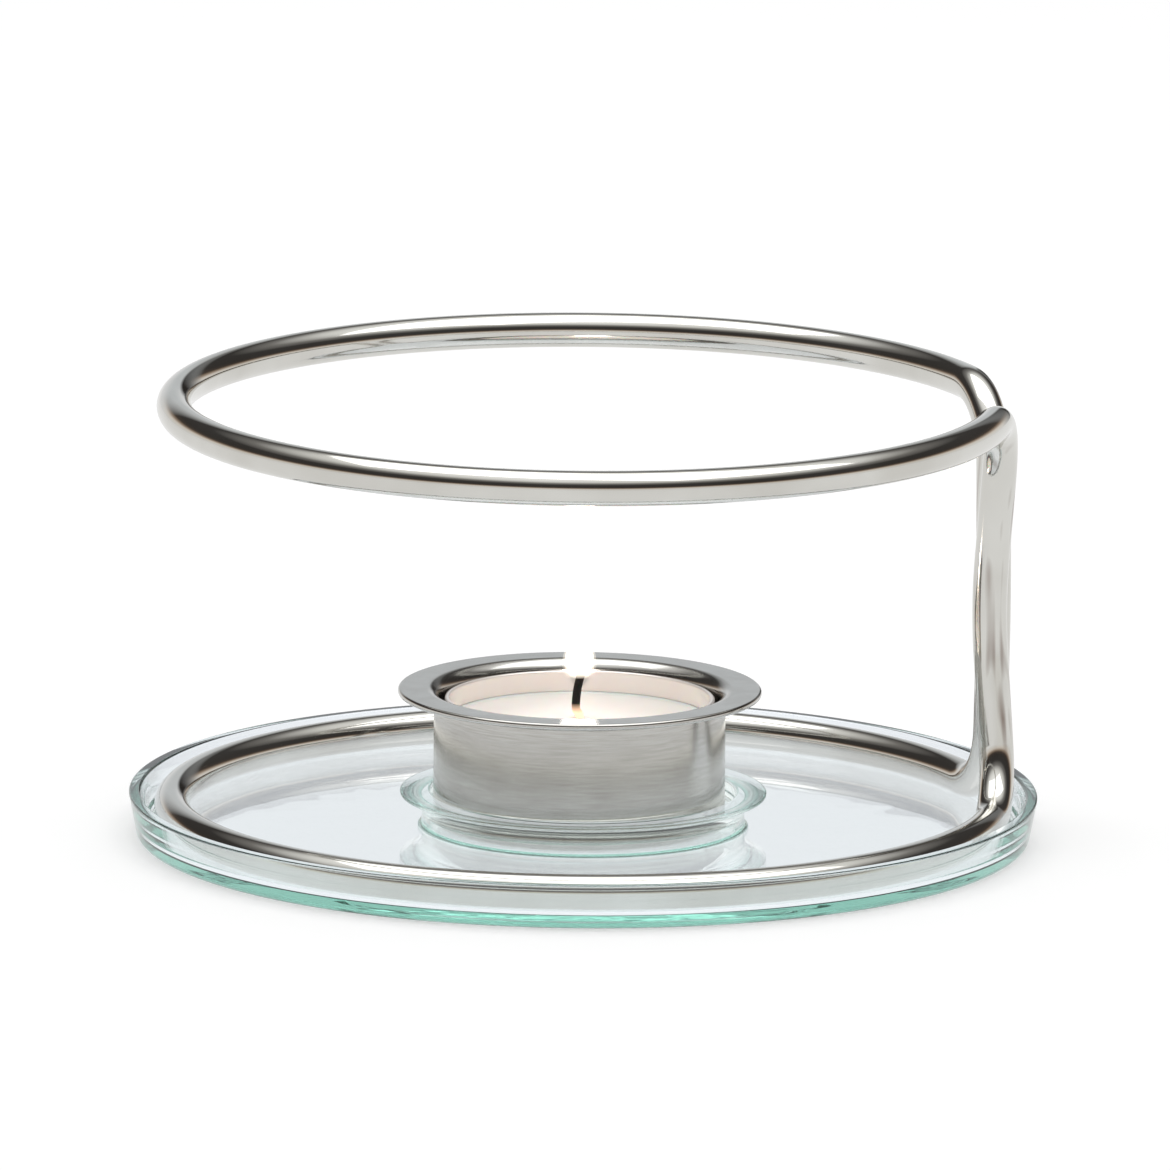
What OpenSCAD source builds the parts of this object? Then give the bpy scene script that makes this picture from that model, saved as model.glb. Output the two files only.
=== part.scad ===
// Teapot warmer: one bent steel rod makes a pot ring over a shallow glass
// dish, and a steel cup in the middle of the dish holds a tealight.
// The dish stands on z = 0 with its middle on the Z axis, legs towards +X.

/* [Glass dish] */
// Diameter over the rim
dish_d = 130; // [127:0.2:140]
// Height of the rim above the table
dish_h = 6.5; // [6:0.1:12]
// Thickness of the floor
floor_t = 1.8; // [1.4:0.1:3]
// Thickness of the wall at the rim
dish_wall = 1.7; // [1.4:0.1:2.2]
// How much wider the rim is than the foot, on each side
dish_flare = 1.2; // [0.6:0.1:2]
// Rounding where the wall meets the table
foot_round = 1; // [0.4:0.1:1.4]
// Rounding inside, between floor and wall
well_round = 1.4; // [0.6:0.1:1.8]
// Arris on the edges of the rim
rim_round = 0.35; // [0.2:0.05:0.5]

/* [Collar in the dish] */
// Height of the collar above the floor
collar_h = 4.9; // [3.8:0.1:6]
// Thickness of the collar's wall
collar_t = 1.6; // [1.2:0.1:2.4]
// Free space all round between the collar and a centred cup
collar_gap = 0.95; // [0.8:0.05:1.5]
// How far the lip on top of the collar reaches out from its wall
collar_lip_w = 2.8; // [2.2:0.1:4]
// Thickness of the lip
collar_lip_t = 0.9; // [0.7:0.1:1.2]
// Curve from the collar's wall out into the lip
collar_lip_curve = 1.6; // [0.6:0.1:1.6]
// Rounding on the collar's inner edge
collar_round = 0.5; // [0.3:0.1:1]
// Fillet at the collar's outer foot
collar_fillet = 0.4; // [0.3:0.1:0.8]
// How far the cup sits off centre in the collar
cup_shift = 0.6; // [0:0.05:0.65]

/* [Rod stand] */
// Diameter of the steel rod
rod_d = 5; // [4:0.2:6]
// Free space all round between the lower ring and the foot of the dish's wall
ring_gap = 0.8; // [0.6:0.1:4]
// Height from the lower ring to the pot ring, between centrelines
ring_rise = 58; // [50:1:80]
// Centreline radius of the four tight bends
bend_r = 10.5; // [8:0.5:11]
// Angle from the middle of the pair of legs to each end of a ring
ring_stop = 15.5; // [15:0.5:20]
// How much closer together the legs come half way up
leg_pinch = 6; // [1:0.5:6]
// How far the front leg bows in towards the middle
front_leg_bow = 1.7; // [0.2:0.1:2]
// Centreline radius of the gentle curve half way up a leg
leg_ease_r = 60; // [40:5:80]
// Turn of the pair of legs about the middle, away from +X
leg_turn = 6; // [0:1:15]
// How much the rod's radius swells where it enters and leaves a bend
bend_swell = 0.05; // [0.04:0.01:0.08]
// Length of that swelling
swell_len = 0.8; // [0.6:0.1:1]
// How far short of a swelling's middle each stretch of rod ends
swell_inset = 0.1; // [0.05:0.01:0.2]

/* [Candle cup] */
// Free space all round between the tealight's rim and the cup
light_gap = 0.65; // [0.4:0.05:2]
// Height of the flange above the cup's underside
cup_h = 19.8; // [19:0.1:26]
// Thickness of the sheet steel
sheet_t = 0.9; // [0.7:0.05:1]
// How far the flange reaches out from the cup's body
flange_w = 5.15; // [4:0.05:8]
// Outside radius of the bend into the flange
lip_round = 2.1; // [1.5:0.1:2.4]
// Outside radius of the bend at the cup's foot
cup_foot_round = 2.2; // [1.5:0.1:3]

/* [Tealight] */
// Diameter over the case's rolled rim
light_d = 38.6; // [37:0.1:38.8]
// Height of the case
light_h = 17.6; // [15:0.1:18]
// Thickness of the case
case_t = 0.3; // [0.2:0.05:0.4]
// Thickness of the rolled rim
case_bead = 0.8; // [0.6:0.05:1]
// Outside radius of the bend at the case's foot
case_foot_round = 1; // [0.8:0.1:1.5]
// Depth of the melted pool below the rim
pool_drop = 3; // [1:0.1:5]
// Diameter of the wick
wick_d = 1.2; // [1:0.1:1.6]
// Height of the wick above the pool
wick_rise = 6.5; // [4:0.5:8]
// Angle that the top of the wick leans over
wick_lean = 18; // [5:1:40]
// Diameter of the metal tab that holds the wick
tab_d = 12; // [8:0.5:16]
// Thickness of the tab, and of the wall of its crimped tube
tab_t = 0.3; // [0.2:0.05:0.4]
// Height of the crimped tube on the tab
tab_neck_h = 4; // [2:0.5:6]

/* [Hidden] */
$fn = 96;

// Outline of the dish from the rim inwards, and the ring that stands in it
rim_r = dish_d / 2;
foot_r = rim_r - dish_flare;
in_r = rim_r - dish_wall;
rod_r = rod_d / 2;
ring_r = in_r - dish_flare - ring_gap - rod_r;
lower_z = floor_t + rod_r + bend_swell;

// Tealight, the cup round it and the collar round the cup
case_rim_r = light_d / 2;
case_r = case_rim_r - case_bead / 2;
cup_r = case_rim_r + light_gap + sheet_t;
flange_r = cup_r + flange_w;
collar_in_r = cup_r + collar_gap;
collar_out_r = collar_in_r + collar_t;
collar_lip_r = collar_out_r + collar_lip_w;

// Heights from the table up
cup_z = floor_t;
case_z = cup_z + sheet_t;
wax_z = case_z + case_t;
wick_z = wax_z + tab_t;
pool_z = case_z + light_h - pool_drop;

wick_r = wick_d / 2;
tab_r = tab_d / 2;
tab_neck_r = wick_r + tab_t;

// Points of a round stretch of outline: centre, radius and two angles
function arc(x, z, r, from, to, steps = 8) =
    [for (i = [0:steps]) let (a = from + (to - from) * i / steps)
        [x + r * cos(a), z + r * sin(a)]];

function unit(v) = v / norm(v);

// Distance from a corner to where a curve of radius r leaves its sides
function tangent_len(u, v, r) = r * tan(acos(u * v) / 2);

// Turns what points up so that it points along a unit vector
module aim(at, along) {
    translate(at)
        rotate([0, acos(along.z), atan2(along.y, along.x)])
            children();
}

module swell(at, along) {
    aim(at, along)
        translate([0, 0, -swell_len / 2])
            cylinder(h = swell_len, r = rod_r + bend_swell);
}

// Straight rod from one point to another
module straight(from, to) {
    along = unit(to - from);
    aim(from + swell_inset * along, along)
        cylinder(h = norm(to - from) - 2 * swell_inset, r = rod_r);
}

// Rod curved round a corner, arriving along u and leaving along v
module curve(corner, u, v, r) {
    turn = acos(u * v);
    middle = corner + r / cos(turn / 2) * unit(v - u);
    x = unit(corner - tangent_len(u, v, r) * u - middle);
    z = cross(x, u);
    inset = swell_inset / r * 180 / PI;
    multmatrix([
        [x.x, u.x, z.x, middle.x],
        [x.y, u.y, z.y, middle.y],
        [x.z, u.z, z.z, middle.z]
    ])
        rotate_extrude(angle = turn - 2 * inset, start = inset)
            translate([r, 0])
                circle(r = rod_r);
}

// One leg with its bend at each end and the gentle curve in the middle;
// side is -1 for the front leg and 1 for the rear one
module leg(side, bow) {
    ring_end = [ring_r * cos(ring_stop), side * ring_r * sin(ring_stop), ring_rise];
    out = [sin(ring_stop), -side * cos(ring_stop), 0];
    half = [-bow, -side * leg_pinch / 2, -ring_rise / 2];
    down = unit(half);
    down_again = [-down.x, -down.y, down.z];
    bend_len = tangent_len(out, down, bend_r);
    ease_len = tangent_len(down, down_again, leg_ease_r);
    top = ring_end + bend_len * out;
    waist = top + half;
    foot = [top.x, top.y, 0];

    swell(ring_end, out);
    curve(top, out, down, bend_r);
    swell(top + bend_len * down, down);
    straight(top + bend_len * down, waist - ease_len * down);
    swell(waist - ease_len * down, down);
    curve(waist, down, down_again, leg_ease_r);
    swell(waist + ease_len * down_again, down_again);
    straight(waist + ease_len * down_again, foot - bend_len * down_again);
    swell(foot - bend_len * down_again, down_again);
    curve(foot, down_again, -out, bend_r);
    swell(foot - bend_len * out, out);
}

// Ring of rod, open on the legs' side
module open_ring() {
    inset = swell_inset / ring_r * 180 / PI;
    rotate_extrude(angle = 360 - 2 * ring_stop - 2 * inset, start = ring_stop + inset)
        translate([ring_r, 0])
            circle(r = rod_r);
}

// One closed length of round rod: ring, bend, leg, bend, ring and back
module rod_stand() {
    color("gainsboro")
        translate([0, 0, lower_z])
            rotate([0, 0, leg_turn]) {
                open_ring();
                translate([0, 0, ring_rise])
                    open_ring();
                leg(-1, front_leg_bow);
                leg(1, 0);
            }
}

// Pressed glass: flat underside, flared wall, and a collar with a lip for the cup
module glass_dish() {
    lean = atan(dish_flare / (dish_h - foot_round));
    well_r = in_r - dish_flare - well_round;
    collar_top = floor_t + collar_h;
    lip_z = collar_top - collar_lip_t;
    lip_edge = collar_lip_t / 2;
    color([0.72, 0.88, 0.84, 0.35])
        rotate_extrude()
            polygon(concat(
                [[0, 0]],
                arc(foot_r - foot_round, foot_round, foot_round, -90, -lean),
                arc(rim_r - rim_round, dish_h - rim_round, rim_round, 0, 90),
                arc(in_r + rim_round, dish_h - rim_round, rim_round, 90, 180),
                arc(well_r, floor_t + well_round, well_round, -lean, -90),
                arc(collar_out_r + collar_fillet, floor_t + collar_fillet, collar_fillet, -90, -180),
                arc(collar_out_r + collar_lip_curve, lip_z - collar_lip_curve, collar_lip_curve, 180, 90),
                arc(collar_lip_r - lip_edge, collar_top - lip_edge, lip_edge, -90, 90),
                arc(collar_in_r + collar_round, collar_top - collar_round, collar_round, 90, 180),
                [[collar_in_r, floor_t], [0, floor_t]]
            ));
}

// Spun steel cup with a rounded foot and a flat flange
module candle_cup() {
    in_foot = cup_foot_round - sheet_t;
    in_lip = lip_round - sheet_t;
    lip_x = cup_r - sheet_t + lip_round;
    edge = sheet_t / 2;
    color("silver")
        translate([-cup_shift, 0, cup_z])
            rotate_extrude()
                polygon(concat(
                    [[0, 0]],
                    arc(cup_r - cup_foot_round, cup_foot_round, cup_foot_round, -90, 0),
                    arc(lip_x, cup_h - lip_round, in_lip, 180, 90),
                    arc(flange_r - edge, cup_h - edge, edge, -90, 90),
                    arc(lip_x, cup_h - lip_round, lip_round, 90, 180),
                    arc(cup_r - cup_foot_round, cup_foot_round, in_foot, 0, -90),
                    [[0, sheet_t]]
                ));
}

// Thin drawn case of the tealight with a rolled rim
module tealight_case() {
    bead = case_bead / 2;
    foot_x = case_r - case_foot_round;
    in_foot = case_foot_round - case_t;
    color("whitesmoke")
        translate([-cup_shift, 0, case_z])
            rotate_extrude()
                polygon(concat(
                    [[0, 0]],
                    arc(foot_x, case_foot_round, case_foot_round, -90, 0),
                    arc(case_r, light_h - bead, bead, -90, 180),
                    [[case_r - case_t, light_h - bead - case_t]],
                    arc(foot_x, case_foot_round, in_foot, 0, -90),
                    [[0, case_t]]
                ));
}

// Stamped tab at the bottom of the wax with a short tube for the wick
module wick_tab() {
    color("silver")
        translate([-cup_shift, 0, wax_z])
            rotate_extrude()
                polygon([
                    [0, 0], [tab_r, 0], [tab_r, tab_t],
                    [tab_neck_r, tab_t], [tab_neck_r, tab_neck_h],
                    [wick_r, tab_neck_h], [wick_r, tab_t], [0, tab_t]
                ]);
}

// Burnt wick: straight through the wax, then leaning over
module wick() {
    bend_arc = wick_rise * 180 / PI / wick_lean;
    color([0.16, 0.14, 0.13])
        translate([-cup_shift, 0, wick_z]) {
            cylinder(h = pool_z - wick_z, r = wick_r);
            translate([bend_arc, 0, pool_z - wick_z])
                rotate([90, 0, 180])
                    rotate_extrude(angle = wick_lean)
                        translate([bend_arc, 0])
                            circle(r = wick_r);
        }
}

// Wax fills the case up to the melted pool, around the tab and the wick
module wax() {
    depth = pool_z - wax_z;
    in_foot = case_foot_round - case_t;
    color([0.97, 0.93, 0.88])
        translate([-cup_shift, 0, wax_z])
            rotate_extrude()
                polygon(concat(
                    [[tab_r, 0]],
                    arc(case_r - case_foot_round, in_foot, in_foot, -90, 0),
                    [[case_r - case_t, depth], [wick_r, depth], [wick_r, tab_neck_h]],
                    [[tab_neck_r, tab_neck_h], [tab_neck_r, tab_t], [tab_r, tab_t]]
                ));
}

glass_dish();
rod_stand();
candle_cup();
tealight_case();
wick_tab();
wick();
wax();
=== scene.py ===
import math

import bmesh
import bpy
from mathutils import Matrix, Vector


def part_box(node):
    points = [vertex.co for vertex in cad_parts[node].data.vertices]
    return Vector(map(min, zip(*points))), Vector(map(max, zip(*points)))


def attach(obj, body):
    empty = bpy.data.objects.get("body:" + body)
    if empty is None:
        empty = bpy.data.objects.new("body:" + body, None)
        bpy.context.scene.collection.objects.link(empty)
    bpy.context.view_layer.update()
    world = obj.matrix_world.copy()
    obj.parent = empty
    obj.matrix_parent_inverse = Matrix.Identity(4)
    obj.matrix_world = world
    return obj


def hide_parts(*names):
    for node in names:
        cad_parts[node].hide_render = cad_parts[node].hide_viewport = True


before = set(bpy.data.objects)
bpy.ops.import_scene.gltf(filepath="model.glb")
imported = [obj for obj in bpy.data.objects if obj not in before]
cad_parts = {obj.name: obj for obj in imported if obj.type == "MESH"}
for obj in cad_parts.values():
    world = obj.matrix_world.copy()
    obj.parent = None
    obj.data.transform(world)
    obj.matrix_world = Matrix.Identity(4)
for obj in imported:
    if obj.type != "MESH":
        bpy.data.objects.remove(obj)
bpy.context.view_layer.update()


# Glass dish
# Pressed soda-lime glass, about 2 mm thick: a flat floor, a low flared wall with a ground rim,
# and a collar in the middle that keeps the candle cup from sliding. It stands on the table by
# its own weight.

MM = 0.001


def box_in_mm(node_name):
    """The lowest and the highest corner of a CAD node, in mm."""
    return [[value / MM for value in corner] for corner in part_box(node_name)]


def turned(name, outline, material, centre_x=0.0, steps=192):
    """A piece turned round the Z axis. The outline's corners are (radius, height, rounding) in mm."""
    shape = bmesh.new()
    corners = [shape.verts.new((radius * MM, 0, height * MM)) for radius, height, rounding in outline]
    for corner, following in zip(corners, corners[1:]):
        shape.edges.new((corner, following))
    for corner, (radius, height, rounding) in zip(corners, outline):
        if rounding:
            bmesh.ops.bevel(shape, geom=[corner], affect="VERTICES", offset=rounding * MM,
                            offset_type="OFFSET", segments=6, profile=0.5, material=-1)
    bmesh.ops.spin(shape, geom=shape.verts[:] + shape.edges[:], cent=(0, 0, 0), axis=(0, 0, 1),
                   angle=math.tau, steps=steps, use_merge=True)
    bmesh.ops.remove_doubles(shape, verts=shape.verts, dist=0.002 * MM)
    bmesh.ops.recalc_face_normals(shape, faces=shape.faces)
    bmesh.ops.translate(shape, verts=shape.verts, vec=(centre_x * MM, 0, 0))
    return finished(name, shape, material)


def made_object(name, shape, material):
    """Makes the modelled shape an object of the scene."""
    mesh = bpy.data.meshes.new(name)
    shape.to_mesh(mesh)
    shape.free()
    mesh.materials.append(material)
    made = bpy.data.objects.new(name, mesh)
    bpy.context.scene.collection.objects.link(made)
    return made


def finished(name, shape, material):
    """Makes the modelled shape a piece that rides on the stand's only body."""
    for face in shape.faces:
        face.smooth = True
    piece = made_object(name, shape, material)
    flat_faces_shade_flat = piece.modifiers.new("flat_faces_shade_flat", "WEIGHTED_NORMAL")
    flat_faces_shade_flat.weight = 80
    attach(piece, "root")
    return piece


def colour(code):
    """An sRGB hex value as the linear colour that the shaders work in."""
    parts = [int(code[i:i + 2], 16) / 255 for i in (1, 3, 5)]
    return tuple(c / 12.92 if c <= 0.04045 else ((c + 0.055) / 1.055) ** 2.4 for c in parts) + (1,)


def shader(name):
    """A new material with an empty node tree."""
    material = bpy.data.materials.new(name)
    material.use_nodes = True
    material.node_tree.nodes.clear()
    return material


def node(material, kind, settings=None, stops=(), **inputs):
    """Adds a node. An input is a value or another node's output. In its name underscores stand for
    spaces, and n0, n1 and so on are inputs by number. Stops are a ramp's positions and colours."""
    made = material.node_tree.nodes.new("ShaderNode" + kind)
    for setting, value in (settings or {}).items():
        setattr(made, setting, value)
    for position, code in stops[2:]:
        made.color_ramp.elements.new(position)
    for number, (position, code) in enumerate(stops):
        made.color_ramp.elements[number].position = position
        made.color_ramp.elements[number].color = colour(code)
    for key, value in inputs.items():
        by_number = key[0] == "n" and key[1:].isdigit()
        socket = made.inputs[int(key[1:]) if by_number else key.replace("_", " ")]
        if isinstance(value, bpy.types.NodeSocket):
            material.node_tree.links.new(value, socket)
        else:
            socket.default_value = value
    return made


# Clear through its face and green along its edges, where the light has come a long way inside
# it. Pressing leaves it very slightly wavy, in waves about 10 mm long.
soda_lime_glass = shader("pressed_soda_lime_glass")
place = node(soda_lime_glass, "TexCoord").outputs["Object"]
waves = node(soda_lime_glass, "TexNoise", Vector=place, Scale=90.0, Detail=1.0)
wavy = node(soda_lime_glass, "Bump", Height=waves.outputs["Fac"], Strength=0.06, Distance=0.4 * MM)
glass = node(soda_lime_glass, "BsdfPrincipled", Base_Color=colour("#FBFFFE"), Roughness=0.0, IOR=1.52,
             Transmission_Weight=1.0, Normal=wavy.outputs["Normal"])
green = node(soda_lime_glass, "VolumeAbsorption", Color=colour("#6FCEBE"), Density=14.0)
node(soda_lime_glass, "OutputMaterial", Surface=glass.outputs["BSDF"], Volume=green.outputs["Volume"])

dish_high = box_in_mm("glass_dish")[1]
rim_radius = dish_high[0]
rim_height = 6.5
rim_width = 1.7
rim_arris = 0.35
wall_flare = 1.2
foot_round = 1.0
well_round = 1.2
# The cup stands on the floor.
floor_top = box_in_mm("candle_cup")[0][2]
foot_radius = rim_radius - wall_flare
well_radius = foot_radius - rim_width

collar_top = dish_high[2]
collar_inner_radius = 21.8
collar_outer_radius = 23.1
collar_fillet = 0.6
collar_round = 0.5
collar_corner = 0.1
lip_radius = 26.2
lip_edge = 0.5
lip_edge_round = 0.2
lip_root = 1.1
lip_curve = 2.2

dish_outline = [
    (0, 0, 0), (foot_radius, 0, foot_round),
    (rim_radius, rim_height, rim_arris), (rim_radius - rim_width, rim_height, rim_arris),
    (well_radius, floor_top, well_round), (collar_outer_radius, floor_top, collar_fillet),
    (collar_outer_radius, collar_top - lip_root, lip_curve),
    (lip_radius, collar_top - lip_edge, lip_edge_round), (lip_radius, collar_top, lip_edge_round),
    (collar_inner_radius, collar_top, collar_round), (collar_inner_radius, floor_top, collar_corner),
    (0, floor_top, 0)]
glass_dish = turned("glass_dish_clear", dish_outline, soda_lime_glass)
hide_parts("glass_dish")


# Rod stand
# One length of 5 mm stainless rod, bent into the lower ring that lies in the dish, up two legs
# that pinch together half way, and round the ring that carries the pot. Its ends are welded and
# ground, and the whole is polished.

rod_low, rod_high = box_in_mm("rod_stand")
rod_radius = 2.5
bend_swell = 0.05
lower_ring_height = rod_low[2] + bend_swell + rod_radius
ring_rise = rod_high[2] - bend_swell - rod_radius - lower_ring_height
ring_radius = 58.8
bend_radius = 10.5
leg_curve_radius = 60.0
leg_pinch = 3.0
front_leg_bow = 1.7
half_opening = math.radians(15.5)
legs_turned = math.radians(6)
ring_steps = 220
bend_steps = 20
leg_curve_steps = 10


def bent(shape, end, corner, arriving, leaving, radius, steps):
    """Carries the rod round a corner, and gives back its new end."""
    axis = arriving.cross(leaving).normalized()
    turn = arriving.angle(leaving)
    middle = corner + (leaving - arriving).normalized() * radius / math.cos(turn / 2)
    return bmesh.ops.spin(shape, geom=end, cent=middle * MM, axis=axis, angle=turn, steps=steps)["geom_last"]


def straight(shape, end, along, length):
    """Carries the rod straight on, and gives back its new end."""
    edges = [part for part in end if isinstance(part, bmesh.types.BMEdge)]
    far = bmesh.ops.extrude_edge_only(shape, edges=edges)["geom"]
    moved = [part for part in far if isinstance(part, bmesh.types.BMVert)]
    bmesh.ops.translate(shape, verts=moved, vec=along * length * MM)
    return moved + [part for part in far if isinstance(part, bmesh.types.BMEdge)
                    and all(vert in moved for vert in part.verts)]


def ring(shape, end, way):
    """Carries the rod round a ring as far as the other leg; way is 1 anticlockwise and -1 clockwise."""
    return bmesh.ops.spin(shape, geom=end, cent=(0, 0, 0), axis=(0, 0, way),
                          angle=math.tau - 2 * half_opening, steps=ring_steps)["geom_last"]


def leg(shape, end, side, bow, start, rise):
    """Carries the rod round a bend, along a leg and round its other bend. Side is -1 for the front leg
    and 1 for the rear one, and the rise from its start is negative on the way down."""
    out = Vector((math.sin(half_opening), -side * math.cos(half_opening), 0))
    ring_end = Vector((math.cos(half_opening), side * math.sin(half_opening), 0)) * ring_radius
    ring_end.z = start
    to_waist = Vector((-bow, -side * leg_pinch, rise / 2))
    inwards = to_waist.normalized()
    outwards = Vector((-inwards.x, -inwards.y, inwards.z))
    bend_reach = bend_radius * math.tan(out.angle(inwards) / 2)
    curve_reach = leg_curve_radius * math.tan(inwards.angle(outwards) / 2)
    run = to_waist.length - bend_reach - curve_reach
    first_corner = ring_end + out * bend_reach
    last_corner = first_corner + Vector((0, 0, rise))
    end = bent(shape, end, first_corner, out, inwards, bend_radius, bend_steps)
    end = straight(shape, end, inwards, run)
    end = bent(shape, end, first_corner + to_waist, inwards, outwards, leg_curve_radius, leg_curve_steps)
    end = straight(shape, end, outwards, run)
    return bent(shape, end, last_corner, outwards, -out, bend_radius, bend_steps)


# Nearly a mirror, a little grey and warm. Up the legs run faint brown streaks, about 1 mm wide
# and 20 mm long: painted reflections, put into the steel's colour.
polished_steel = shader("polished_stainless_steel")
place = node(polished_steel, "TexCoord").outputs["Object"]
cloud = node(polished_steel, "TexNoise", Vector=place, Scale=60.0, Detail=3.0)
shade = node(polished_steel, "ValToRGB", stops=[(0.35, "#CDCBC5"), (0.65, "#D9D8D3")],
             Fac=cloud.outputs["Fac"])
drawn_out = node(polished_steel, "Mapping", Vector=place, Scale=(600, 600, 25))
streaks = node(polished_steel, "TexNoise", Vector=drawn_out.outputs["Vector"], Scale=1.0, Detail=1.0)
painted_reflection_strength = node(polished_steel, "MapRange", Value=streaks.outputs["Fac"], From_Min=0.56, From_Max=0.72,
                To_Max=0.8)
streaks_from, streaks_full_from, streaks_full_to, streaks_to = 11, 18, 54, 59
apart = node(polished_steel, "SeparateXYZ", Vector=place)
above_foot = node(polished_steel, "MapRange", Value=apart.outputs["Z"], From_Min=streaks_from * MM,
                  From_Max=streaks_full_from * MM)
below_head = node(polished_steel, "MapRange", Value=apart.outputs["Z"], From_Min=streaks_to * MM,
                  From_Max=streaks_full_to * MM)
legs_only = node(polished_steel, "Math", {"operation": "MULTIPLY"}, n0=above_foot.outputs["Result"],
                 n1=below_head.outputs["Result"])
painted_reflection_amount = node(polished_steel, "Math", {"operation": "MULTIPLY"}, n0=legs_only.outputs["Value"],
              n1=painted_reflection_strength.outputs["Result"])
# The brown streaks mixed in here are painted reflections on the legs, not marks in the steel.
with_painted_reflections = node(polished_steel, "MixRGB", Fac=painted_reflection_amount.outputs["Value"], Color1=shade.outputs["Color"],
             Color2=colour("#7C695F"))
buffed = node(polished_steel, "MapRange", Value=cloud.outputs["Fac"], To_Min=0.05, To_Max=0.11)
steel = node(polished_steel, "BsdfPrincipled", Base_Color=with_painted_reflections.outputs["Color"], Metallic=1.0,
             Roughness=buffed.outputs["Result"])
node(polished_steel, "OutputMaterial", Surface=steel.outputs["BSDF"])

rod = bmesh.new()
section = bmesh.ops.create_circle(rod, segments=40, radius=rod_radius * MM)["verts"]
bmesh.ops.rotate(rod, verts=section, matrix=Matrix.Rotation(math.pi / 2, 3, "X"))
bmesh.ops.translate(rod, verts=section, vec=(ring_radius * MM, 0, 0))
bmesh.ops.rotate(rod, verts=section, matrix=Matrix.Rotation(half_opening, 3, "Z"))
end = section + list({edge for vert in section for edge in vert.link_edges})
end = ring(rod, end, 1)
end = leg(rod, end, -1, front_leg_bow, 0, ring_rise)
end = ring(rod, end, -1)
end = leg(rod, end, 1, 0, ring_rise, -ring_rise)
bmesh.ops.remove_doubles(rod, verts=rod.verts, dist=0.01 * MM)
bmesh.ops.recalc_face_normals(rod, faces=rod.faces)
bmesh.ops.rotate(rod, verts=rod.verts, matrix=Matrix.Rotation(legs_turned, 3, "Z"))
bmesh.ops.translate(rod, verts=rod.verts, vec=(0, 0, lower_ring_height * MM))
rod_stand = finished("bent_rod_polished", rod, polished_steel)
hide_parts("rod_stand")


# Candle cup
# Spun from 0.9 mm stainless sheet: a straight cup with a rounded foot, and a flat flange to lift
# it by. It stands loose inside the collar, a little left of the middle.

brushed_steel = shader("brushed_stainless_steel")
place = node(brushed_steel, "TexCoord").outputs["Object"]
# The lathe's strokes are about 0.05 mm apart and 5 mm long, and are drawn at 0.2 mm, so that they show.
round_the_cup = node(brushed_steel, "Mapping", Vector=place, Scale=(200, 200, 5000))
strokes = node(brushed_steel, "TexNoise", Vector=round_the_cup.outputs["Vector"], Scale=1.0, Detail=2.0)
shade = node(brushed_steel, "ValToRGB", stops=[(0.3, "#BAB8B3"), (0.65, "#C7C6C2")],
             Fac=strokes.outputs["Fac"])
grain = node(brushed_steel, "Bump", Height=strokes.outputs["Fac"], Strength=0.05, Distance=0.03 * MM)
# The side keeps the lathe's dull strokes; the lip and flange are polished.
dull_to, polished_from = 18.5, 19.5
patches = node(brushed_steel, "TexNoise", Vector=place, Scale=70.0, Detail=2.0)
dull = node(brushed_steel, "MapRange", Value=patches.outputs["Fac"], To_Min=0.15, To_Max=0.24)
apart = node(brushed_steel, "SeparateXYZ", Vector=place)
polished = node(brushed_steel, "MapRange", Value=apart.outputs["Z"], From_Min=dull_to * MM,
                From_Max=polished_from * MM)
roughness = node(brushed_steel, "Mix", n0=polished.outputs["Result"], n2=dull.outputs["Result"], n3=0.14)
spun = node(brushed_steel, "BsdfPrincipled", Base_Color=shade.outputs["Color"], Metallic=1.0,
            Roughness=roughness.outputs[0], Normal=grain.outputs["Normal"])
node(brushed_steel, "OutputMaterial", Surface=spun.outputs["BSDF"])

cup_low, cup_high = box_in_mm("candle_cup")
cup_off_centre = (cup_low[0] + cup_high[0]) / 2
flange_radius = (cup_high[0] - cup_low[0]) / 2
cup_top = cup_high[2]
cup_radius = 20.85
cup_sheet = 0.9
cup_foot_round = 2.2
cup_well_round = 1.3
cup_lip_round = 2.1
under_lip_round = 1.2
flange_edge_round = 0.4
# The foot is drawn a hair above the glass, so that light still runs through the floor under it.
cup_foot = cup_low[2] + 0.03
cup_well = cup_low[2] + cup_sheet

cup_outline = [
    (0, cup_foot, 0), (cup_radius, cup_foot, cup_foot_round),
    (cup_radius, cup_top - cup_sheet, under_lip_round),
    (flange_radius, cup_top - cup_sheet, flange_edge_round), (flange_radius, cup_top, flange_edge_round),
    (cup_radius - cup_sheet, cup_top, cup_lip_round), (cup_radius - cup_sheet, cup_well, cup_well_round),
    (0, cup_well, 0)]
candle_cup = turned("candle_cup_spun", cup_outline, brushed_steel, cup_off_centre)
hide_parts("candle_cup")


# Tealight case
# Drawn from thin bright aluminium, with its top edge rolled over. It stands loose in the cup.
# Melted wax has run up its inside and left a thin skin there.

bright_aluminium = shader("drawn_aluminium")
place = node(bright_aluminium, "TexCoord").outputs["Object"]
smear = node(bright_aluminium, "TexNoise", Vector=place, Scale=220.0, Detail=3.0)
# The bright grey is the aluminium's own; its warm peach tint is painted light, the flame's glow on the case.
shade = node(bright_aluminium, "ValToRGB", stops=[(0, "#F3EAE4"), (1, "#FAF5F1")], Fac=smear.outputs["Fac"])
dented = node(bright_aluminium, "Bump", Height=smear.outputs["Fac"], Strength=0.2, Distance=0.2 * MM)
case_metal = node(bright_aluminium, "BsdfPrincipled", Base_Color=shade.outputs["Color"], Metallic=0.5,
                  Roughness=0.24, Normal=dented.outputs["Normal"])
node(bright_aluminium, "OutputMaterial", Surface=case_metal.outputs["BSDF"])

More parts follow.
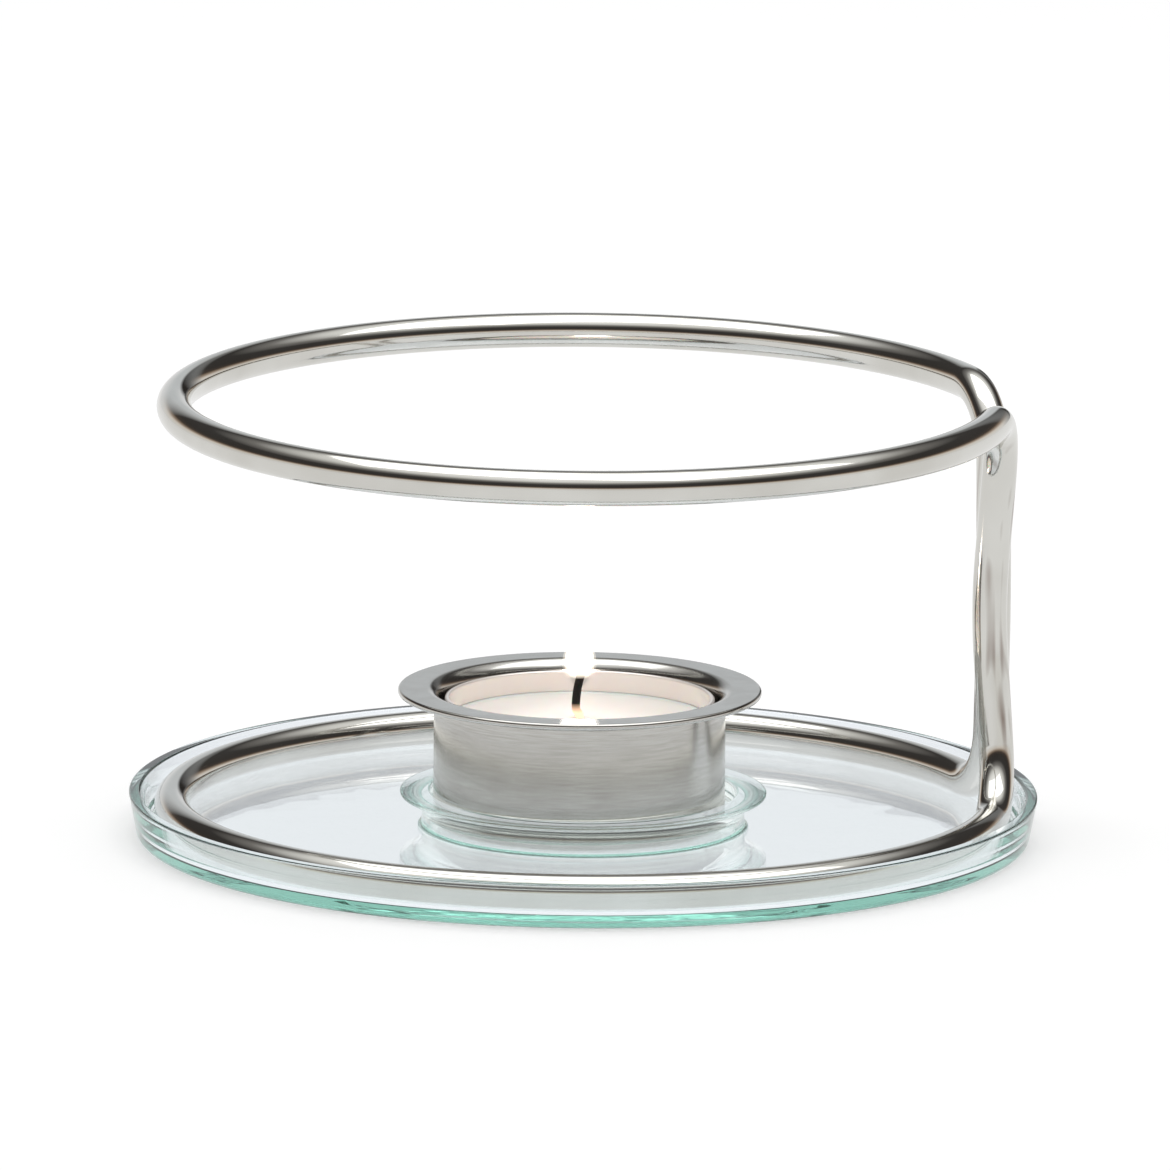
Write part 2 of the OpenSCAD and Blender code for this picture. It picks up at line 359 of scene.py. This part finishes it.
wax_low, wax_high = box_in_mm("wax")
case_inner_radius = (wax_high[0] - wax_low[0]) / 2
case_sheet = 0.3
case_radius = case_inner_radius + case_sheet
case_height = 17.6
case_top = cup_well + case_height
case_foot_round = 1.0
case_well_round = 0.7
bead = 0.8
bead_round = 0.35
under_bead_round = 0.3
bead_outer_radius = case_radius + bead / 2
bead_inner_radius = case_radius - bead / 2
bead_ends = case_top - 0.7

case_outline = [
    (0, cup_well, 0), (case_radius, cup_well, case_foot_round), (case_radius, case_top - bead, 0),
    (bead_outer_radius, case_top - bead, under_bead_round), (bead_outer_radius, case_top, bead_round),
    (bead_inner_radius, case_top, bead_round), (case_inner_radius, bead_ends, 0),
    (case_inner_radius, wax_low[2], case_well_round), (0, wax_low[2], 0)]
tealight_case = turned("tealight_case_drawn", case_outline, bright_aluminium, cup_off_centre)
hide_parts("tealight_case")
# The wick's tab, which the wax hides, is stamped from the same sheet.
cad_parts["wick_tab"].data.materials.clear()
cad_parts["wick_tab"].data.materials.append(bright_aluminium)


# Wax
# Paraffin wax, poured round the wick and its tab, and melted across its whole top while the
# wick burns: the pool is glossy, a little see-through, and climbs slightly up case and wick.

paraffin_wax = shader("melted_paraffin_wax")
place = node(paraffin_wax, "TexCoord").outputs["Object"]
cloudy = node(paraffin_wax, "TexNoise", Vector=place, Scale=120.0, Detail=2.0)
shade = node(paraffin_wax, "ValToRGB", stops=[(0, "#FAF1EA"), (1, "#FEFAF6")], Fac=cloudy.outputs["Fac"])
wax = node(paraffin_wax, "BsdfPrincipled", Base_Color=shade.outputs["Color"], Roughness=0.2, IOR=1.43,
           Subsurface_Weight=0.4, Subsurface_Scale=4 * MM)
node(paraffin_wax, "OutputMaterial", Surface=wax.outputs["BSDF"])

tab_low, tab_high = box_in_mm("wick_tab")
tab_radius = tab_high[0] - cup_off_centre
tab_sheet = 0.3
wick_foot = tab_low[2] + tab_sheet
wick_radius = 0.6
tube_radius = wick_radius + tab_sheet
wax_edge_height = wax_high[2]
pool_height = wax_edge_height - 0.15
pool_radius = 18.0
pool_round = 0.4
wick_hollow = 1.4

wax_outline = [
    (tab_radius, wax_low[2], 0), (case_inner_radius, wax_low[2], case_well_round),
    (case_inner_radius, wax_edge_height, 0), (pool_radius, pool_height, pool_round),
    (wick_hollow, pool_height, pool_round), (wick_radius, wax_edge_height, 0),
    (wick_radius, tab_high[2], 0), (tube_radius, tab_high[2], 0), (tube_radius, wick_foot, 0),
    (tab_radius, wick_foot, 0), (tab_radius, wax_low[2], 0)]
wax_pool = turned("wax_pool_melted", wax_outline, paraffin_wax, cup_off_centre)
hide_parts("wax")


# Wick
# Braided cotton that stands in the tab's tube, charred black above the wax and curled over at
# its tip, with wax drawn up into its foot. The waxy foot also has a painted glow, the flame's light on it.

waxy_to, black_from = 18.0, 19.4
burnt_cotton = shader("charred_cotton_wick")
place = node(burnt_cotton, "TexCoord").outputs["Object"]
height = node(burnt_cotton, "SeparateXYZ", Vector=place)
char = node(burnt_cotton, "MapRange", Value=height.outputs["Z"], From_Min=waxy_to * MM,
            From_Max=black_from * MM)
# Painted glow: the waxy foot gives off light of its own, which stands in for the flame's light on it.
glowing = node(burnt_cotton, "MapRange", Value=char.outputs["Result"], To_Min=0.9, To_Max=0.0)
shade = node(burnt_cotton, "ValToRGB", stops=[(0, "#F0B98A"), (1, "#17120F")], Fac=char.outputs["Result"])
braid = node(burnt_cotton, "TexNoise", Vector=place, Scale=2500.0, Detail=2.0)
fibre = node(burnt_cotton, "Bump", Height=braid.outputs["Fac"], Strength=0.8, Distance=0.2 * MM)
cotton = node(burnt_cotton, "BsdfPrincipled", Base_Color=shade.outputs["Color"], Roughness=0.9,
              Normal=fibre.outputs["Normal"], Emission_Color=colour("#FFE0C4"),
              Emission_Strength=glowing.outputs["Result"])
node(burnt_cotton, "OutputMaterial", Surface=cotton.outputs["BSDF"])

kink_radius = 1.2
kink_angle = math.radians(40)
curl_radius = 16.0
curl_angle = math.radians(17)
kink_centre = Vector((-kink_radius, 0, wax_edge_height))
kink_back_centre = kink_centre + Matrix.Rotation(-kink_angle, 3, "Y") @ Vector((2 * kink_radius, 0, 0))
curl_centre = kink_back_centre + Vector((curl_radius - kink_radius, 0, 0))

wick = bmesh.new()
bmesh.ops.create_circle(wick, segments=16, radius=wick_radius * MM, cap_ends=True)
bmesh.ops.translate(wick, verts=wick.verts, vec=(0, 0, wick_foot * MM))
end = [edge for edge in wick.edges if not edge.is_manifold]
end = end + list({vert for edge in end for vert in edge.verts})
end = straight(wick, end, Vector((0, 0, 1)), wax_edge_height - wick_foot)
for centre, way, angle, steps in ((kink_centre, -1, kink_angle, 6), (kink_back_centre, 1, kink_angle, 6),
                                  (curl_centre, 1, curl_angle, 12)):
    end = bmesh.ops.spin(wick, geom=end, cent=centre * MM, axis=(0, way, 0), angle=angle,
                         steps=steps)["geom_last"]
bmesh.ops.contextual_create(wick, geom=[part for part in end if isinstance(part, bmesh.types.BMEdge)])
bmesh.ops.recalc_face_normals(wick, faces=wick.faces)
bmesh.ops.translate(wick, verts=wick.verts, vec=(cup_off_centre * MM, 0, 0))
burnt_wick = finished("wick_charred", wick, burnt_cotton)
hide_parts("wick")


# Flame
# The burning wax vapour over the wick: a thin glowing drop, white where it is hottest. Four
# shells inside each other each add a little light, so that its edge is soft.

flame_off_centre = -0.7
flame_foot = 21.5
clear_to = 23.2
flame_widest = 25.2
lamp_height = 28
flame_tip = 33.5
flame_outline = [
    (0, flame_foot, 0), (1.9, 22.6, 0.8), (2.7, flame_widest, 1.6), (1.5, 29.0, 2.0), (0, flame_tip, 0)]

for layer, (widening, strength) in enumerate([(1.0, 0.02), (0.88, 0.06), (0.76, 0.14), (0.64, 0.4)]):
    candle_flame = shader("candle_flame_layer_" + str(layer))
    place = node(candle_flame, "TexCoord").outputs["Object"]
    height = node(candle_flame, "SeparateXYZ", Vector=place)
    up = node(candle_flame, "MapRange", Value=height.outputs["Z"], From_Min=clear_to * MM,
              From_Max=flame_widest * MM, To_Max=strength)
    glow = node(candle_flame, "BsdfPrincipled", Base_Color=colour("#000000"), Roughness=1.0,
                Specular_IOR_Level=0.0, Emission_Color=colour("#FFF0DC"), Emission_Strength=7.0,
                Alpha=up.outputs["Result"])
    node(candle_flame, "OutputMaterial", Surface=glow.outputs["BSDF"])
    narrowed = [(radius * widening, height, rounding) for radius, height, rounding in flame_outline]
    flame = turned("flame_layer_" + str(layer), narrowed, candle_flame, flame_off_centre, steps=48)

# The light that the flame throws on the wax, the case and the cup's lip.
flame_light = bpy.data.lights.new("flame_light", "POINT")
flame_light.energy = 0.0028
flame_light.color = colour("#FFF3EC")[:3]
flame_light.shadow_soft_size = 2.5 * MM
flame_lamp = bpy.data.objects.new("flame_light", flame_light)
flame_lamp.location = (flame_off_centre * MM, 0, lamp_height * MM)
bpy.context.scene.collection.objects.link(flame_lamp)


# Table and light
# A plain white table that runs out of sight, under a large soft light from above. Between that
# light and the table the room is dark, and the metal shows it as a dark line.

white_table = shader("white_table")
ray = node(white_table, "LightPath")
paint = node(white_table, "BsdfDiffuse", Color=colour("#EBEBEB"))
lift = node(white_table, "Emission", Color=colour("#FFFFFF"), Strength=0.3)
lifted = node(white_table, "AddShader", n0=paint.outputs["BSDF"], n1=lift.outputs["Emission"])
plain_white = node(white_table, "Emission", Color=colour("#FFFFFF"), Strength=1.0)
in_metal = node(white_table, "MixShader", n0=0.7, n1=paint.outputs["BSDF"],
                n2=plain_white.outputs["Emission"])
bare = node(white_table, "MixShader", n0=ray.outputs["Is Camera Ray"], n1=paint.outputs["BSDF"],
            n2=lifted.outputs["Shader"])
shiny = node(white_table, "MixShader", n0=ray.outputs["Is Glossy Ray"], n1=bare.outputs["Shader"],
             n2=in_metal.outputs["Shader"])
under_glass = node(white_table, "Emission", Color=colour("#F9F8FE"), Strength=1.0)
table_top = node(white_table, "MixShader", n0=ray.outputs["Is Transmission Ray"], n1=shiny.outputs["Shader"],
                 n2=under_glass.outputs["Emission"])
node(white_table, "OutputMaterial", Surface=table_top.outputs["Shader"])

# Its top lies a hair under the glass, so that the two faces don't coincide.
table_half_width = 6000
table_height = -0.1
table = bmesh.new()
bmesh.ops.create_grid(table, x_segments=1, y_segments=1, size=table_half_width * MM)
bmesh.ops.translate(table, verts=table.verts, vec=(0, 0, table_height * MM))
made_object("table", table, white_table)

room = bpy.data.worlds.new("studio")
room.use_nodes = True
room.node_tree.nodes.clear()
ray = node(room, "LightPath")
toward = node(room, "TexCoord").outputs["Generated"]
height = node(room, "SeparateXYZ", Vector=toward)
front_bands = [
    (0.0, "#E2E2E0"), (0.10, "#DCD4CC"), (0.17, "#9A8878"), (0.23, "#4A413B"), (0.32, "#3A3735"),
    (0.50, "#3C3A39"), (0.64, "#7E7C7A"), (0.78, "#E6E6E4"), (0.88, "#FFFFFF")]
back_bands = [(0.0, "#DEDFE0"), (0.12, "#D4D6D8"), (0.2, "#C4C8CB"), (0.7, "#F2F2F2"), (1.0, "#FFFFFF")]
front = node(room, "ValToRGB", stops=front_bands, Fac=height.outputs["Z"])
back = node(room, "ValToRGB", stops=back_bands, Fac=height.outputs["Z"])
turned_back = node(room, "MapRange", Value=height.outputs["Y"], From_Min=0.85, From_Max=0.97)
bands = node(room, "MixRGB", Fac=turned_back.outputs["Result"], Color1=front.outputs["Color"],
             Color2=back.outputs["Color"])
# A dark screen stands behind on the right; the right-hand bends mirror it.
on_right = node(room, "MapRange", Value=height.outputs["X"], From_Min=0.1, From_Max=0.16)
screened = node(room, "Math", {"operation": "MULTIPLY"}, n0=turned_back.outputs["Result"],
                n1=on_right.outputs["Result"])
with_screen = node(room, "MixRGB", Fac=screened.outputs["Value"], Color1=bands.outputs["Color"],
                   Color2=colour("#2A2725"))
mirrored = node(room, "Background", Color=with_screen.outputs["Color"], Strength=1.1)
plain = node(room, "Background", Color=colour("#FFFFFF"), Strength=0.55)
white = node(room, "Background", Color=colour("#FFFFFF"), Strength=1.0)
soft = node(room, "MixShader", n0=ray.outputs["Is Glossy Ray"], n1=plain.outputs["Background"],
            n2=mirrored.outputs["Background"])
# Seen through the glass the room behind is white, and what the rod mirrors from the front stays dark.
behind = node(room, "MapRange", Value=height.outputs["Y"], From_Min=-0.2, From_Max=0.1)
through = node(room, "MixShader", n0=behind.outputs["Result"], n1=mirrored.outputs["Background"],
               n2=white.outputs["Background"])
glazed = node(room, "MixShader", n0=ray.outputs["Is Transmission Ray"], n1=soft.outputs["Shader"],
              n2=through.outputs["Shader"])
all_round = node(room, "MixShader", n0=ray.outputs["Is Camera Ray"], n1=glazed.outputs["Shader"],
                 n2=white.outputs["Background"])
node(room, "OutputWorld", Surface=all_round.outputs["Shader"])
bpy.context.scene.world = room

softbox = bpy.data.lights.new("overhead_softbox", "AREA")
softbox.shape = "RECTANGLE"
softbox.size = 2.0
softbox.size_y = 1.4
softbox.energy = 11
overhead = bpy.data.objects.new("overhead_softbox", softbox)
overhead.location = (0.05, 0.1, 1.5)
overhead.rotation_euler = (-overhead.location).to_track_quat("-Z", "Y").to_euler()
bpy.context.scene.collection.objects.link(overhead)


# Camera
# A long lens 4 m away, which looks down at about 11.5 degrees and rolls half a degree. The photo
# is 1170 pixels wide and shows 7 of them to a millimetre of the object.

photo_width = 1170
pixels_to_a_mm = 7.006
camera_distance = 4000
pitch = math.radians(11.45)
roll = math.radians(0.5)
aim_height = 36.6

lens = bpy.data.cameras.new("camera")
lens.sensor_width = 36
lens.lens = lens.sensor_width * pixels_to_a_mm * camera_distance / photo_width
lens.clip_end = 50
camera = bpy.data.objects.new("camera", lens)
looking_down = Matrix.Rotation(math.pi / 2 - pitch, 3, "X")
camera.rotation_euler = (looking_down @ Matrix.Rotation(roll, 3, "Z")).to_euler()
backwards = Vector((0, -math.cos(pitch), math.sin(pitch)))
camera.location = Vector((0, 0, aim_height * MM)) + backwards * camera_distance * MM
bpy.context.scene.collection.objects.link(camera)
bpy.context.scene.camera = camera

bpy.context.scene.view_settings.view_transform = "Standard"
# Light that glass traps between its two faces turns back many times before it gets out.
bpy.context.scene.cycles.max_bounces = 28
bpy.context.scene.cycles.glossy_bounces = 24
bpy.context.scene.cycles.transmission_bounces = 16
